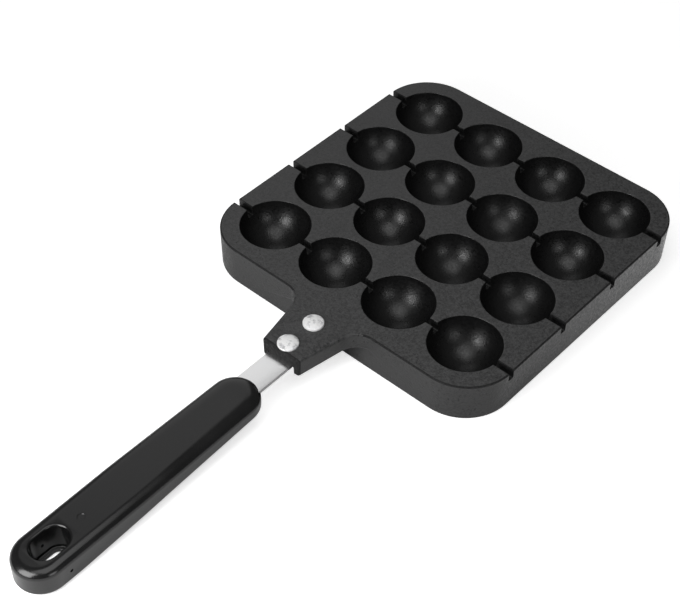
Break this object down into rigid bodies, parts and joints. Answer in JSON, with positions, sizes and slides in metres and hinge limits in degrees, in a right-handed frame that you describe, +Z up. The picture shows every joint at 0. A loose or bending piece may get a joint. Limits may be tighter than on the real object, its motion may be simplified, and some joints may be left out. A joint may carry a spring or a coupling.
{
  "type": "takoyaki pan",
  "caption": "Square cast stovetop pan with round cups joined by stick grooves, a riveted metal strip and a black moulded grip with a hanging slot.",
  "frame": {"origin": "centre of the plate, on the plane of the skirt's foot that the pan stands on", "axes": "+X along the cup rows and stick grooves, +Y from the handle towards the plate's far side, +Z up out of the cups"},
  "size_m": [0.1914, 0.401, 0.0261],
  "materials": {
    "coated_casting": "cast aluminium under a dark grey non-stick coating, finely textured, with a dull sheen",
    "strip_steel": "satin, lightly brushed along its length",
    "rivet_metal": "bright, with soft press marks",
    "black_moulding": "black, smooth, half gloss"
  },
  "bodies": {
    "root": {"grill_plate": "coated_casting", "handle_strip": "strip_steel", "rear_rivet": "rivet_metal", "front_rivet": "rivet_metal", "grip": "black_moulding"}
  },
  "joints": []
}
